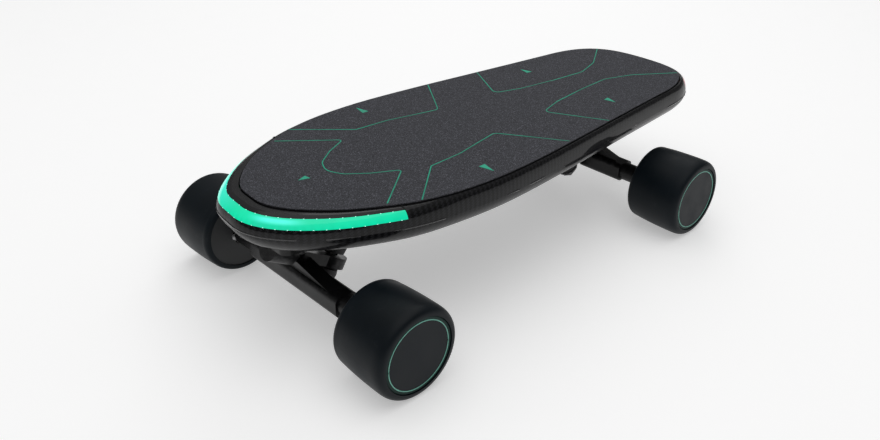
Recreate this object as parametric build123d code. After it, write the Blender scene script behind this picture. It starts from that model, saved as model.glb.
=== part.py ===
from build123d import *
import os
from math import atan2, cos, degrees, pi, radians, sin, sqrt, tan

# Electric skateboard, millimetres. X points to the nose, Y to the rider's left, Z up.
# Everything is drawn about the middle of the wheelbase and moved to the middle of the outer box at the end.

# ---- overall sizes ----
WHEELBASE = 377.0
TRACK = 243.0              # between the middles of the left and right tyres
WHEEL_RADIUS = 40.0
WHEEL_WIDTH = 58.0
NOSE_X = 250.0             # nose tip of the shell, from the middle of the wheelbase
TAIL_X = -303.0            # tail tip of the shell
HALF_WIDTH = 107.0         # widest point of the shell, each side
DECK_TOP = 128.0           # top of the grip sheet above the floor
DECK_DEPTH = 38.0          # grip sheet to the flat of the belly
RIM_NOSE = 21.0            # shell rim beyond the grip sheet at the nose tip
RIM_TAIL = 12.0
RIM_SIDE = 5.5

# ---- deck shell ----
CREASE = 17.0              # depth of the sharp line round the shell
RIM_DROP = 1.5             # rim top below the grip sheet
WALL = 3.0
FLOOR = 3.0
BELLY_INSET = 25.0
LEDGE = 6.0                # width of the ledge the lid rests on
LID_GAP = 1.2
GRIP_THICK = 0.8
LID_THICK = 5.2
SKIN = 0.3                 # clearance between close parts that do not touch
FIT = 0.1                  # clearance between a hole and what goes through it

# ---- lights ----
SEAM_X = 150.0
TAIL_SEAM_X = -268.0
LENS_TOP = 3.0             # depth of the upper edge of the lens
LENS_LOW = 9.5
LENS_BACK = 0.42           # share of the rim, from grip edge to crease, where the lens starts
BOARD_THICK = 1.0
LED_SIZE = (3.0, 2.0, 1.2)
LED_START = 14.0           # first LED from the end of its lens
FRONT_LEDS = 22
TAIL_LEDS = 7

# ---- trucks ----
STEER_ANGLE = 30.0         # steering axis above level
STEER_LIMIT = 12.0
RING_IN = 29.0             # kingpin ring, inward of the axle
RING_UP = 4.0
RING_RADIUS = 15.0
RING_HALF = 5.0
KINGPIN_RADIUS = 4.75
RING_BORE = 6.4
BUSH_TOP = 13.0
BUSH_LOW = 11.0
BUSH_RADIUS = 11.0
CUP_WASHER = 1.8
CUP_RADIUS = 12.0
KINGPIN_NUT = 7.0
PIVOT_OUT = 52.0           # pivot tip from the ring centre, along the steering axis
PIVOT_TIP = 5.0
PIVOT_CUP_WALL = 2.2
PIVOT_BOSS = 11.5
RISER = 3.0
PLATE_THICK = 5.0
PLATE_IN = 63.0
PLATE_OUT = 33.0
PLATE_HALF = 29.0
BOLT_X = 53.5
BOLT_Y = 41.3
BOLT_RADIUS = 2.5
BOLT_HEAD = 4.6
BOLT_HEAD_HIGH = 2.5
BOLT_NUT = 4.6
BOLT_NUT_HIGH = 5.0
BOLT_STUB = 2.0
PLATE_CORNER = 9.0
HANGER_RADIUS = 9.5
HANGER_GAP = 1.5           # hanger end to wheel
DELTA_HALF = 62.0          # half span of the sloping web above the axle
DELTA_THICK = 12.0
DELTA_TOP = 9.0            # half width of the web where it meets the neck
DELTA_EDGE = 5.0           # height of the web at its outer ends
NECK_WIDTH = 22.0
NECK_SHORT = 14.0          # neck ends this far before the pivot tip
NECK_NOSE = 8.0            # radius of the tapered nose that carries the pivot
CAST_ROUND = 3.0           # rounding of the cast edges
AXLE_RADIUS = 4.0
AXLE_NUT = 6.5
AXLE_NUT_THICK = 7.0
AXLE_NUT_GAP = 1.0
AXLE_STUB = 1.5            # thread that shows beyond the nut
KINGPIN_ACROSS = 8.2       # corner radius of the kingpin nut
BUSH_BULGE = 0.6
BORE_FIT = 0.2             # rubber and washers on the kingpin

# ---- wheels ----
SHOULDER_OUT = (13.0, 6.4)     # along the axle, and in from the tread
SHOULDER_IN = (6.0, 4.0)
BARREL = 1.6                   # how much smaller the tread is at its inner side
TYRE_BORE = 33.0
CAP_THICK = 2.4
CAP_SINK = 0.8                 # cap face in from the tyre's side
CAP_BEVEL = 0.6
CORE_WALL = 4.0
CORE_SPOKES = 8
SPOKE_THICK = 3.0
BEARING = (11.0, 7.0)          # outer radius and width
BEARING_SET_OUT = 11.0         # outer bearing in from the cap
BEARING_SET_IN = 5.0           # inner bearing in from the tyre's inner side
BEARING_LIP = 2.5              # shoulder between bearings, beyond the bore
CAN_WALL = 2.4
CAN_END = 3.5                  # thickness of the can's closed ends
CAN_RECESS = 1.5               # can in from the tyre's inner side
MAGNETS = 14
MAGNET_THICK = 2.6
MAGNET_FILL = 0.86             # share of the pitch that each magnet covers
GLUE = 0.1
STACK_RECESS = 11.0            # steel stack in from the can's ends
TEETH = 12
TOOTH_WIDTH = 4.4
TOOTH_TIP_THICK = 1.6
TOOTH_SLOT = 2.2               # opening between two tooth tips
YOKE_RADIUS = 13.0
SLEEVE_RADIUS = 7.0
COIL_HALF = 3.9
COIL_END = 2.4                 # coil beyond the stack at each end
COIL_FILL = 0.94
AIR_GAP = 0.7

# ---- electronics ----
CELL = (9.2, 65.0)
CELL_ROWS = 10
CELL_PITCH = 19.0
CELLS_X = 24.0
HOLDER_WALL = 1.6
CELL_GAP = 1.5             # cell end to the middle rib
BUS_BOARD_HALF = 18.0
PCB_THICK = 1.6
BOARD_X = (-142.0, -88.0)
BOARD_HALF = 46.0
SINK_X = (-102.0, -88.0)
SINK_HALF = 45.0
SINK_HEIGHT = 11.0
SINK_BASE = 3.0
SINK_SLOTS = 8
SINK_SLOT = 8.0
SINK_PITCH = 12.0
SENSOR_RADIUS = 12.0
SENSOR_THICK = 3.0
SENSOR_X = (128.0, -80.0)
SENSOR_Y = 45.0
BUTTON_X = -128.0
BUTTON_Y = 0.0
BUTTON_RADIUS = 7.0
BUTTON_TRAVEL = 1.0
BUTTON_RECESS = 0.5        # button face up from the belly
BUTTON_FLANGE = 1.8
BUTTON_STEM = 2.0
STEM_TOP = 4.0             # stem above the shell floor
SWITCH_HALF = 6.0
PORT_X = -128.0
PORT_Y = 40.0
PORT_RADIUS = 6.0
PORT_BORE = 2.75
COVER_THICK = 1.6
COVER_RADIUS = 9.0
SOCKET_FLANGE = 2.5
SCREW_HEAD = 2.4
SCREW_HEAD_HIGH = 1.6
SCREW_SHANK = 1.4
SCREW_DEPTH = 6.0          # into the ledge
SCREWS = 10

# ---- worked out ----
SHIFT = -(NOSE_X + TAIL_X) / 2
BELLY_Z = DECK_TOP - DECK_DEPTH
FLOOR_Z = BELLY_Z + FLOOR
CREASE_Z = DECK_TOP - CREASE
LID_TOP = GRIP_THICK
LID_LOW = LID_TOP + LID_THICK    # depths below the grip surface
FAR = 600.0
OUTLINE_STEPS = 26
OUTLINE_EDGES = 4

os.makedirs("parts", exist_ok=True)


def save(name, shape):
    """Move a finished piece to the part's own frame and write it as one node."""
    export_step(Pos(SHIFT, 0, 0) * shape, "parts/" + name + ".step")


def group(pieces):
    return Compound(children=list(pieces))


# ---- deck outlines ----

# shares of the length to the tip and of the half width, from the nose tip to the tail tip
SHELL_SHAPE = ((0.955, 0.36), (0.885, 0.53), (0.80, 0.675), (0.70, 0.79), (0.57, 0.905), (0.41, 0.97),
               (0.22, 1.0), (0.0, 0.98), (-0.26, 0.91), (-0.53, 0.83), (-0.76, 0.765), (-0.88, 0.69),
               (-0.96, 0.50))


def shell_points():
    """Points of the shell at the crease, once round from the nose tip."""
    side = []
    for along, across in SHELL_SHAPE:
        tip = NOSE_X if along > 0 else -TAIL_X
        side.append((along * tip, across * HALF_WIDTH))
    other = [(x, -y) for x, y in reversed(side)]
    return [(NOSE_X, 0)] + side + [(TAIL_X, 0)] + other


SHELL_CURVE = Spline(*shell_points(), periodic=True)


def rim_width(x):
    """How far the crease stands outside the grip sheet at a place along the board."""
    if x > 0:
        share = min(1.0, max(0.0, (x - 90) / (NOSE_X - 90)))
        return RIM_SIDE + (RIM_NOSE - RIM_SIDE) * share ** 1.3
    share = min(1.0, max(0.0, (-x - 230) / (-TAIL_X - 230)))
    return RIM_SIDE + (RIM_TAIL - RIM_SIDE) * share


def outline(inset, share, z):
    """Closed outline at height z: the crease line moved in by inset plus a share of the rim's width."""
    left = []
    for i in range(OUTLINE_STEPS + 1):
        at = SHELL_CURVE.position_at(i / OUTLINE_STEPS / 2)
        along = SHELL_CURVE.tangent_at(i / OUTLINE_STEPS / 2)
        move = inset + share * rim_width(at.X)
        left.append((at.X - along.Y * move, at.Y + along.X * move))
    points = [(x, y, z) for x, y in left]
    points += [(x, -y, z) for x, y in reversed(left[1:-1])]
    ring = Spline(*points, periodic=True)
    return Wire([ring.trim(i / OUTLINE_EDGES, (i + 1) / OUTLINE_EDGES) for i in range(OUTLINE_EDGES)])


def prism(inset, share, deep, shallow):
    """A straight-sided solid of an outline, between two depths below the grip surface."""
    low, high = DECK_TOP - deep, DECK_TOP - shallow
    return extrude(Face(outline(inset, share, low)), amount=high - low, dir=(0, 0, 1))


def block(x0, x1, y0, y1, z0, z1):
    return Pos((x0 + x1) / 2, (y0 + y1) / 2, (z0 + z1) / 2) * Box(abs(x1 - x0), abs(y1 - y0), z1 - z0)


def rod(radius, z0, z1, x=0.0, y=0.0):
    return Pos(x, y, (z0 + z1) / 2) * Cylinder(radius, z1 - z0)


# depth below the grip surface, and the share of the rim's width that the side has come in by there
SIDE_PROFILE = ((CREASE, 0.0), (12.0, 0.04), (7.5, 0.16), (4.0, 0.36), (RIM_DROP, 0.66))
# share of the belly's height, and share of its inset left there
BELLY_PROFILE = ((0.0, 1.0), (0.09, 0.70), (0.28, 0.40), (0.55, 0.17), (0.80, 0.04), (1.0, 0.0))


def upper_body():
    return Solid.make_loft([outline(0, share, DECK_TOP - depth) for depth, share in SIDE_PROFILE])


def belly_body():
    height = CREASE_Z - BELLY_Z
    wires = [outline(BELLY_INSET * inset, 0, BELLY_Z + up * height) for up, inset in BELLY_PROFILE]
    return Solid.make_loft(wires)


def belly_hollow():
    height = CREASE_Z - FLOOR_Z
    wires = [outline(WALL + BELLY_INSET * inset, 0, FLOOR_Z + up * height) for up, inset in BELLY_PROFILE]
    return Solid.make_loft(wires)


def turned(points, about=Axis.Y):
    """A solid of revolution from points given as (radius, place along the axle)."""
    return revolve(make_face(Polyline(*points, close=True)), axis=about)


def on_rim(share, count, limit_x, size, depth, sign):
    """Small blocks, evenly spaced along a rim line round one end of the deck."""
    line = outline(0, share, 0)
    steps = [i / 400 - (0.5 if sign > 0 else 0.0) for i in range(401)]
    used = [u for u in steps if line.position_at(u % 1.0).X * sign > abs(limit_x)]
    pieces = []
    for i in range(count):
        u = (used[0] + (used[-1] - used[0]) * i / (count - 1)) % 1.0
        at = line.position_at(u)
        way = line.tangent_at(u)
        place = Pos(at.X, at.Y, DECK_TOP - depth + size[2] / 2)
        pieces.append(place * Rot(0, 0, degrees(atan2(way.Y, way.X))) * Box(*size))
    return pieces


# ---- shell, lid and end frames ----

TRUCK_MIDDLE = WHEELBASE / 2 + (PLATE_OUT - PLATE_IN) / 2
BOLT_PLACES = [(end * TRUCK_MIDDLE + dx * BOLT_X / 2, dy * BOLT_Y / 2)
               for end in (1, -1) for dx in (1, -1) for dy in (1, -1)]

ledge_line = outline(LEDGE / 2, 1, 0)
ledge_spots = [ledge_line.position_at((i + 0.5) / SCREWS) for i in range(SCREWS)]
SCREW_PLACES = [(spot.X, spot.Y) for spot in ledge_spots]

upper = upper_body()
pocket = prism(-LID_GAP, 1, LID_LOW, 0)
well = prism(LEDGE, 1, CREASE + 1, 0)
lens_ring = prism(-WALL, 0, LENS_LOW, LENS_TOP) - prism(0, 1 - LENS_BACK, LENS_LOW + 1, LENS_TOP - 1)
frame_ring = prism(-WALL, 0, LID_LOW, 0) - lens_ring - pocket
channel = prism(0, 1 - LENS_BACK, LENS_LOW, LID_LOW) - prism(-LID_GAP / 2, 1, LENS_LOW + 1, LID_LOW - 1)
nose_zone = block(SEAM_X, FAR, -FAR, FAR, 0, FAR)
tail_zone = block(-FAR, TAIL_SEAM_X, -FAR, FAR, 0, FAR)

belly = belly_body() - belly_hollow()
belly = belly - rod(BUTTON_RADIUS + SKIN, BELLY_Z - 1, FLOOR_Z + 1, BUTTON_X, BUTTON_Y)
belly = belly - rod(PORT_RADIUS, BELLY_Z - 1, FLOOR_Z + 1, PORT_X, PORT_Y)
belly = belly - rod(COVER_RADIUS + 2 * SKIN, BELLY_Z - 1, BELLY_Z + COVER_THICK, PORT_X, PORT_Y)
for x, y in BOLT_PLACES:
    belly = belly - rod(BOLT_RADIUS + FIT, BELLY_Z - 1, FLOOR_Z + 1, x, y)

rim = upper - well - pocket
for x, y in SCREW_PLACES:
    rim = rim - rod(SCREW_SHANK + FIT, DECK_TOP - LID_LOW - SCREW_DEPTH - 0.5, DECK_TOP, x, y)
covers = {}
lenses = {}
for end, zone in (("nose", nose_zone), ("tail", tail_zone)):
    covers[end] = upper & (zone & frame_ring)
    lenses[end] = upper & (zone & lens_ring)
    rim = rim - (zone & frame_ring) - (zone & lens_ring) - (zone & channel)
shell = rim + belly

lid = prism(0, 1, LID_LOW, LID_TOP)
for x, y in SCREW_PLACES:
    lid = lid - rod(SCREW_HEAD + FIT, DECK_TOP - LID_TOP - SCREW_HEAD_HIGH - FIT, DECK_TOP, x, y)
    lid = lid - rod(SCREW_SHANK + FIT, DECK_TOP - LID_LOW - 1, DECK_TOP, x, y)


def main_deck():
    deck_bolts = []
    low = BELLY_Z - RISER - PLATE_THICK
    for x, y in BOLT_PLACES:
        bolt = rod(BOLT_RADIUS, low - BOLT_NUT_HIGH - BOLT_STUB, FLOOR_Z, x, y)
        bolt = bolt + rod(BOLT_HEAD, FLOOR_Z, FLOOR_Z + BOLT_HEAD_HIGH, x, y)
        nut = rod(BOLT_NUT, low - BOLT_NUT_HIGH, low, x, y) - rod(BOLT_RADIUS, low - 9, low + 1, x, y)
        deck_bolts += [bolt, nut]
    save("lower_shell", shell)
    save("truck_bolts", group(deck_bolts))
    save("deck_plate", lid)
    save("grip_sheet", prism(0, 1, LID_TOP, 0))
    for end, cover in covers.items():
        save(end + "_frame", cover)
    save("front_light_lens", lenses["nose"])
    save("tail_light_lens", lenses["tail"])


def lights():
    strip = prism(0, 1 - LENS_BACK + 0.05, LENS_LOW, LENS_LOW - BOARD_THICK)
    strip = strip - prism(-LID_GAP / 2, 0.97, LENS_LOW + 1, 0)
    share = 1 - LENS_BACK / 2
    for end, sign, count, limit in (("front", 1, FRONT_LEDS, SEAM_X), ("tail", -1, TAIL_LEDS, TAIL_SEAM_X)):
        zone = block(limit + sign, sign * FAR, -FAR, FAR, 0, FAR)
        save(end + "_light_board", strip & zone)
        leds = on_rim(share, count, limit + sign * LED_START, LED_SIZE, LENS_LOW - BOARD_THICK, sign)
        save(end + "_leds", group(leds))


# ---- trucks, drawn for the front: X outward to the nose, the axle through (0, 0, WHEEL_RADIUS) ----

A = radians(STEER_ANGLE)
RING = (-RING_IN, 0.0, WHEEL_RADIUS + RING_UP)
KINGPIN_AXIS = (-sin(A), 0, cos(A))
PLATE_LOW = BELLY_Z - RISER - PLATE_THICK
HANGER_HALF = (TRACK - WHEEL_WIDTH) / 2 - HANGER_GAP


def at_ring(shape):
    """Stand a shape drawn along Z on the kingpin, with its origin at the middle of the ring."""
    return Pos(*RING) * Rot(0, -STEER_ANGLE, 0) * shape


def along_steer(shape):
    """Lay a shape drawn along Z on the steering axis, with its origin at the middle of the ring."""
    return Pos(*RING) * Rot(0, 90 - STEER_ANGLE, 0) * shape


def place_truck(shape, sign):
    turn = Rot(0, 0, 0) if sign > 0 else Rot(0, 0, 180)
    return Pos(sign * WHEELBASE / 2, 0, 0) * turn * shape


def hanger():
    beam = Pos(0, 0, WHEEL_RADIUS) * Rot(90, 0, 0) * Cylinder(HANGER_RADIUS, 2 * HANGER_HALF)
    centre = Pos(0, 0, WHEEL_RADIUS) * Box(2 * HANGER_RADIUS + 3, 2 * DELTA_HALF, 2 * HANGER_RADIUS)
    centre = fillet(centre.edges().filter_by(Axis.Y), CAST_ROUND + 2)
    top = PIVOT_OUT - NECK_SHORT
    lean = (top * cos(A) - RING_IN, 0, top * sin(A) + RING_UP)
    height = sqrt(lean[0] ** 2 + lean[2] ** 2)
    face = Plane(origin=(0, 0, WHEEL_RADIUS), x_dir=(0, 1, 0), z_dir=(lean[2], 0, -lean[0]))
    half = [(DELTA_HALF, -HANGER_RADIUS + 1), (DELTA_HALF, DELTA_EDGE), (DELTA_HALF * 0.8, 2 * DELTA_EDGE),
            (DELTA_TOP, height - CAST_ROUND)]
    points = half + [(-y, h) for y, h in reversed(half)]
    delta = extrude(face * make_face(Polyline(*points, close=True)), amount=DELTA_THICK / 2, both=True)
    delta = fillet(delta.edges().filter_by(Axis((0, 0, 0), face.z_dir)), CAST_ROUND)
    neck = along_steer(Pos(0, 0, top / 2) * Box(2 * RING_HALF, NECK_WIDTH, top))
    eye = at_ring(Cylinder(RING_RADIUS, 2 * RING_HALF))
    tip = PIVOT_OUT - PIVOT_TIP
    nose = along_steer(Pos(0, 0, (top + tip) / 2 - 2) * Cone(NECK_NOSE, PIVOT_TIP, tip - top + 4))
    ball = along_steer(Pos(0, 0, tip) * Sphere(PIVOT_TIP))
    body = beam + centre + delta + neck + eye + nose + ball
    under = at_ring(Pos(0, 0, -RING_HALF - 20) * Cylinder(RING_RADIUS, 40))
    over = at_ring(Pos(0, 0, RING_HALF + 20) * Cylinder(RING_RADIUS, 40))
    bore = at_ring(Cylinder(RING_BORE, 4 * RING_HALF))
    axle = Pos(0, 0, WHEEL_RADIUS) * Rot(90, 0, 0) * Cylinder(AXLE_RADIUS, 4 * HANGER_HALF)
    return body - under - over - bore - axle


def bushing(start, length, direction):
    """A rubber bushing whose face towards the ring is a shallow cone, so that the ring can rock."""
    slope = tan(radians(STEER_LIMIT))
    bore = KINGPIN_RADIUS + BORE_FIT
    points = [(bore, SKIN + bore * slope), (BUSH_RADIUS, SKIN + BUSH_RADIUS * slope),
              (BUSH_RADIUS + BUSH_BULGE, length * 0.6), (BUSH_RADIUS, length), (bore, length)]
    profile = make_face(Polyline(*[(r, 0, start + direction * h) for r, h in points], close=True))
    return at_ring(revolve(profile, axis=Axis.Z))


def collar(radius, bore, low, high):
    ring = Cylinder(radius, high - low) - Cylinder(bore, 2 * (high - low))
    return at_ring(Pos(0, 0, (low + high) / 2) * ring)


TOP_END = RING_HALF + BUSH_TOP
LOW_END = -RING_HALF - BUSH_LOW


def baseplate():
    plate = block(-PLATE_IN, PLATE_OUT, -PLATE_HALF, PLATE_HALF, PLATE_LOW, PLATE_LOW + PLATE_THICK)
    plate = fillet(plate.edges().filter_by(Axis.Z), PLATE_CORNER)
    seat = TOP_END + CUP_WASHER
    boss = at_ring(Pos(0, 0, seat + 20) * Cylinder(BUSH_RADIUS + 1.5, 40))
    housing = along_steer(Pos(0, 0, PIVOT_OUT + 4) * Cylinder(PIVOT_BOSS, 24))
    rib = block(-PLATE_IN + 8, PLATE_OUT - 4, -4, 4, PLATE_LOW - 7, PLATE_LOW)
    below = block(-PLATE_IN - 40, PLATE_OUT + 40, -60, 60, PLATE_LOW + PLATE_THICK, PLATE_LOW + 80)
    inner = rib & (at_ring(Pos(0, 0, seat + 20) * Box(60, 60, 40)) + block(-22, PLATE_OUT, -60, 60, 0, 90))
    body = plate + (boss + housing + inner - below)
    socket = PIVOT_TIP + SKIN + PIVOT_CUP_WALL
    cup = along_steer(Pos(0, 0, PIVOT_OUT - PIVOT_TIP) * Sphere(socket))
    mouth = along_steer(Pos(0, 0, PIVOT_OUT - PIVOT_TIP - 15) * Cylinder(socket, 30))
    body = body - cup - mouth - at_ring(Pos(0, 0, 30) * Cylinder(KINGPIN_RADIUS, 60))
    middle = (PLATE_OUT - PLATE_IN) / 2
    for dx in (1, -1):
        for dy in (1, -1):
            x, y = middle + dx * BOLT_X / 2, dy * BOLT_Y / 2
            body = body - rod(BOLT_RADIUS + FIT, 0, FAR, x, y)
            body = body - rod(BOLT_NUT + 1, PLATE_LOW - 12, PLATE_LOW, x, y)
    return body


def pivot_cup():
    ball = PIVOT_TIP + SKIN
    outer = Sphere(ball + PIVOT_CUP_WALL) + Pos(0, 0, -2.5) * Cylinder(ball + PIVOT_CUP_WALL, 5)
    inner = Sphere(ball) + Pos(0, 0, -8) * Cone(ball + 3.4, ball, 16)
    cut = Pos(0, 0, -25) * Box(60, 60, 40)
    return along_steer(Pos(0, 0, PIVOT_OUT - PIVOT_TIP) * (outer - inner - cut))


def trucks():
    kingpins, nuts, washers, risers = [], [], [], []
    for name, sign in (("front", 1), ("rear", -1)):
        riser = block(-PLATE_IN, PLATE_OUT, -PLATE_HALF, PLATE_HALF, BELLY_Z - RISER, BELLY_Z)
        riser = fillet(riser.edges().filter_by(Axis.Z), PLATE_CORNER)
        middle = (PLATE_OUT - PLATE_IN) / 2
        for dx in (1, -1):
            for dy in (1, -1):
                riser = riser - rod(BOLT_RADIUS + FIT, 0, 200, middle + dx * BOLT_X / 2, dy * BOLT_Y / 2)
        riser = riser - at_ring(Pos(0, 0, 30) * Cylinder(KINGPIN_RADIUS + 1, 60))
        risers.append(place_truck(riser, sign))
        save(name + "_baseplate", place_truck(baseplate(), sign))
        save(name + "_pivot_cup", place_truck(pivot_cup(), sign))
        save(name + "_hanger", place_truck(hanger(), sign))
        rubber = [bushing(RING_HALF, BUSH_TOP, 1), bushing(-RING_HALF, BUSH_LOW, -1)]
        save(name + "_bushings", group([place_truck(piece, sign) for piece in rubber]))
        axle = Pos(0, 0, WHEEL_RADIUS) * Rot(90, 0, 0) * Cylinder(AXLE_RADIUS, 2 * AXLE_END)
        save(name + "_axle", place_truck(axle, sign))
        hex_nut = extrude(RegularPolygon(AXLE_NUT, 6), amount=AXLE_NUT_THICK) - Cylinder(AXLE_RADIUS, 40)
        ends = [Pos(0, side * NUT_SEAT, WHEEL_RADIUS) * Rot(-90 * side, 0, 0) * hex_nut for side in (1, -1)]
        save(name + "_axle_nuts", group([place_truck(piece, sign) for piece in ends]))
        washer = [collar(CUP_RADIUS, KINGPIN_RADIUS + BORE_FIT, TOP_END, TOP_END + CUP_WASHER),
                  collar(CUP_RADIUS, KINGPIN_RADIUS + BORE_FIT, LOW_END - CUP_WASHER, LOW_END)]
        washers += [place_truck(piece, sign) for piece in washer]
        nut_top = LOW_END - CUP_WASHER
        reach = TOP_END + CUP_WASHER + 15
        pin = at_ring(Pos(0, 0, (reach + nut_top - KINGPIN_NUT - 1) / 2)
                      * Cylinder(KINGPIN_RADIUS, reach - nut_top + KINGPIN_NUT + 1))
        kingpins.append(place_truck(pin, sign))
        nut = extrude(RegularPolygon(KINGPIN_ACROSS, 6), amount=KINGPIN_NUT) - Cylinder(KINGPIN_RADIUS, 60)
        nuts.append(place_truck(at_ring(Pos(0, 0, nut_top - KINGPIN_NUT) * nut), sign))
    save("riser_pads", group(risers))
    save("kingpins", group(kingpins))
    save("kingpin_nuts", group(nuts))
    save("cup_washers", group(washers))


# ---- wheels, drawn about Y with their outer side at +Y ----

HALF = WHEEL_WIDTH / 2
CAP_FACE = HALF - CAP_SINK
CAP_BACK = CAP_FACE - CAP_THICK
BEARING_OUT = CAP_BACK - BEARING_SET_OUT
BEARING_IN = -HALF + BEARING_SET_IN
BEARING_BORE = AXLE_RADIUS + FIT
NUT_SEAT = TRACK / 2 + BEARING_OUT + AXLE_NUT_GAP
AXLE_END = NUT_SEAT + AXLE_NUT_THICK + AXLE_STUB


def place_wheel(shape, sign, side):
    turn = Rot(0, 0, 0) if side > 0 else Rot(0, 0, 180)
    return Pos(sign * WHEELBASE / 2, side * TRACK / 2, WHEEL_RADIUS) * turn * shape


def tyre():
    wide, drop = SHOULDER_OUT
    inner_wide, inner_drop = SHOULDER_IN
    low = WHEEL_RADIUS - BARREL
    with BuildSketch() as sketch:
        with BuildLine():
            Polyline((WHEEL_RADIUS - drop, HALF), (TYRE_BORE, HALF), (TYRE_BORE, -HALF),
                     (low - inner_drop, -HALF))
            Spline((low - inner_drop, -HALF), (low, -HALF + inner_wide), tangents=((1, 0), (0, 1)))
            Spline((low, -HALF + inner_wide), (WHEEL_RADIUS, HALF - wide), tangents=((0.1, 1), (0, 1)))
            Spline((WHEEL_RADIUS, HALF - wide), (WHEEL_RADIUS - drop, HALF), tangents=((0, 1), (-1, 0)))
        make_face()
    return revolve(sketch.sketch, axis=Axis.Y)


def bearing_pair():
    outer, width = BEARING
    pieces = []
    for low in (BEARING_IN, BEARING_OUT - width):
        ring = [(BEARING_BORE, low), (outer, low), (outer, low + width), (BEARING_BORE, low + width)]
        pieces.append(turned(ring))
    return pieces


def cap():
    edge = TYRE_BORE - FIT
    face = [(0, CAP_BACK), (edge, CAP_BACK), (edge, CAP_FACE - CAP_BEVEL),
            (edge - CAP_BEVEL, CAP_FACE), (0, CAP_FACE)]
    skirt = [(TYRE_BORE - CORE_WALL - 2, CAP_BACK - 3), (TYRE_BORE - CORE_WALL, CAP_BACK - 3),
             (TYRE_BORE - CORE_WALL, CAP_BACK), (TYRE_BORE - CORE_WALL - 2, CAP_BACK)]
    return turned(face) + turned(skirt)


def core():
    """Plastic core of a front wheel: a rim, a thick web at the bearings and a closed inner side."""
    outer, width = BEARING
    inside = TYRE_BORE - CORE_WALL
    lip = AXLE_RADIUS + BEARING_LIP
    low = -HALF + 1
    rim = [(inside, low), (TYRE_BORE, low), (TYRE_BORE, CAP_BACK), (inside, CAP_BACK)]
    hub = [(lip, BEARING_IN + width), (outer, BEARING_IN + width), (outer, BEARING_IN), (outer, low),
           (inside, low), (inside, low + CORE_WALL), (outer + CORE_WALL, BEARING_IN + CORE_WALL - 1),
           (outer + CORE_WALL, BEARING_OUT), (outer, BEARING_OUT), (outer, BEARING_OUT - width),
           (lip, BEARING_OUT - width)]
    body = turned(rim) + turned(hub)
    spoke = block(outer + 3, inside + 1, low + 3, BEARING_OUT, -SPOKE_THICK / 2, SPOKE_THICK / 2)
    for i in range(CORE_SPOKES):
        body = body + Rot(0, i * 360 / CORE_SPOKES, 0) * spoke
    return body


CAN_IN = -HALF + CAN_RECESS
CAN_OUT = BEARING_OUT


def rotor_can():
    outer, width = BEARING
    low, high = CAN_IN, CAN_OUT
    inside = TYRE_BORE - CAN_WALL
    seat = outer + BEARING_LIP
    points = [(outer, low), (TYRE_BORE, low), (TYRE_BORE, CAP_BACK), (inside, CAP_BACK),
              (inside, high), (outer, high), (outer, high - width), (seat, high - width),
              (seat, high - CAN_END), (inside, high - CAN_END), (inside, low + CAN_END),
              (seat, low + CAN_END), (seat, BEARING_IN + width), (outer, BEARING_IN + width)]
    return turned(points)


MAGNET_OUT = TYRE_BORE - CAN_WALL
STACK_LOW = CAN_IN + STACK_RECESS
STACK_HIGH = CAN_OUT - STACK_RECESS


def magnets():
    outer = MAGNET_OUT - GLUE
    ring = turned([(MAGNET_OUT - MAGNET_THICK, STACK_LOW - 1), (outer, STACK_LOW - 1),
                   (outer, STACK_HIGH + 1), (MAGNET_OUT - MAGNET_THICK, STACK_HIGH + 1)])
    half_angle = pi / MAGNETS * MAGNET_FILL
    reach = 2 * MAGNET_OUT
    wedge = extrude(Plane.XZ * make_face(Polyline((0, 0), (reach, reach * tan(half_angle)),
                                                   (reach, -reach * tan(half_angle)), close=True)),
                    amount=60, both=True)
    one = ring & wedge
    return [Rot(0, i * 360 / MAGNETS, 0) * one for i in range(MAGNETS)]


TOOTH_TIP = MAGNET_OUT - MAGNET_THICK - AIR_GAP


def stator():
    """Laminated stator on a sleeve that is keyed to the axle."""
    low, high = BEARING_IN + BEARING[1], BEARING_OUT - BEARING[1]
    sleeve = turned([(AXLE_RADIUS, low), (SLEEVE_RADIUS, low), (SLEEVE_RADIUS, high), (AXLE_RADIUS, high)])
    yoke = turned([(SLEEVE_RADIUS, STACK_LOW), (YOKE_RADIUS, STACK_LOW), (YOKE_RADIUS, STACK_HIGH),
                   (SLEEVE_RADIUS, STACK_HIGH)])
    under = TOOTH_TIP - TOOTH_TIP_THICK
    tips = turned([(under, STACK_LOW), (TOOTH_TIP, STACK_LOW), (TOOTH_TIP, STACK_HIGH), (under, STACK_HIGH)])
    body = sleeve + yoke
    slot = block(0, 2 * TOOTH_TIP, STACK_LOW - 1, STACK_HIGH + 1, -TOOTH_SLOT / 2, TOOTH_SLOT / 2)
    tooth = block(YOKE_RADIUS - 1, TOOTH_TIP - 1, STACK_LOW, STACK_HIGH, -TOOTH_WIDTH / 2, TOOTH_WIDTH / 2)
    for i in range(TEETH):
        body = body + Rot(0, i * 360 / TEETH, 0) * tooth
        tips = tips - Rot(0, (i + 0.5) * 360 / TEETH, 0) * slot
    return body + tips


def windings():
    """One copper coil round each tooth."""
    pieces = []
    solid = block(YOKE_RADIUS + 2, TOOTH_TIP - 2.4, STACK_LOW - COIL_END, STACK_HIGH + COIL_END,
                  -COIL_HALF, COIL_HALF)
    gap = TOOTH_WIDTH / 2 + GLUE
    hole = block(YOKE_RADIUS + 1, TOOTH_TIP - 1, STACK_LOW - GLUE, STACK_HIGH + GLUE, -gap, gap)
    coil = solid - hole
    reach = 2 * TOOTH_TIP
    spread = reach * tan(pi / TEETH * COIL_FILL)
    limit = make_face(Polyline((0, 0), (reach, spread), (reach, -spread), close=True))
    coil = coil & extrude(Plane.XZ * limit, amount=reach, both=True)
    for i in range(TEETH):
        pieces.append(Rot(0, i * 360 / TEETH, 0) * coil)
    return pieces


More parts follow.
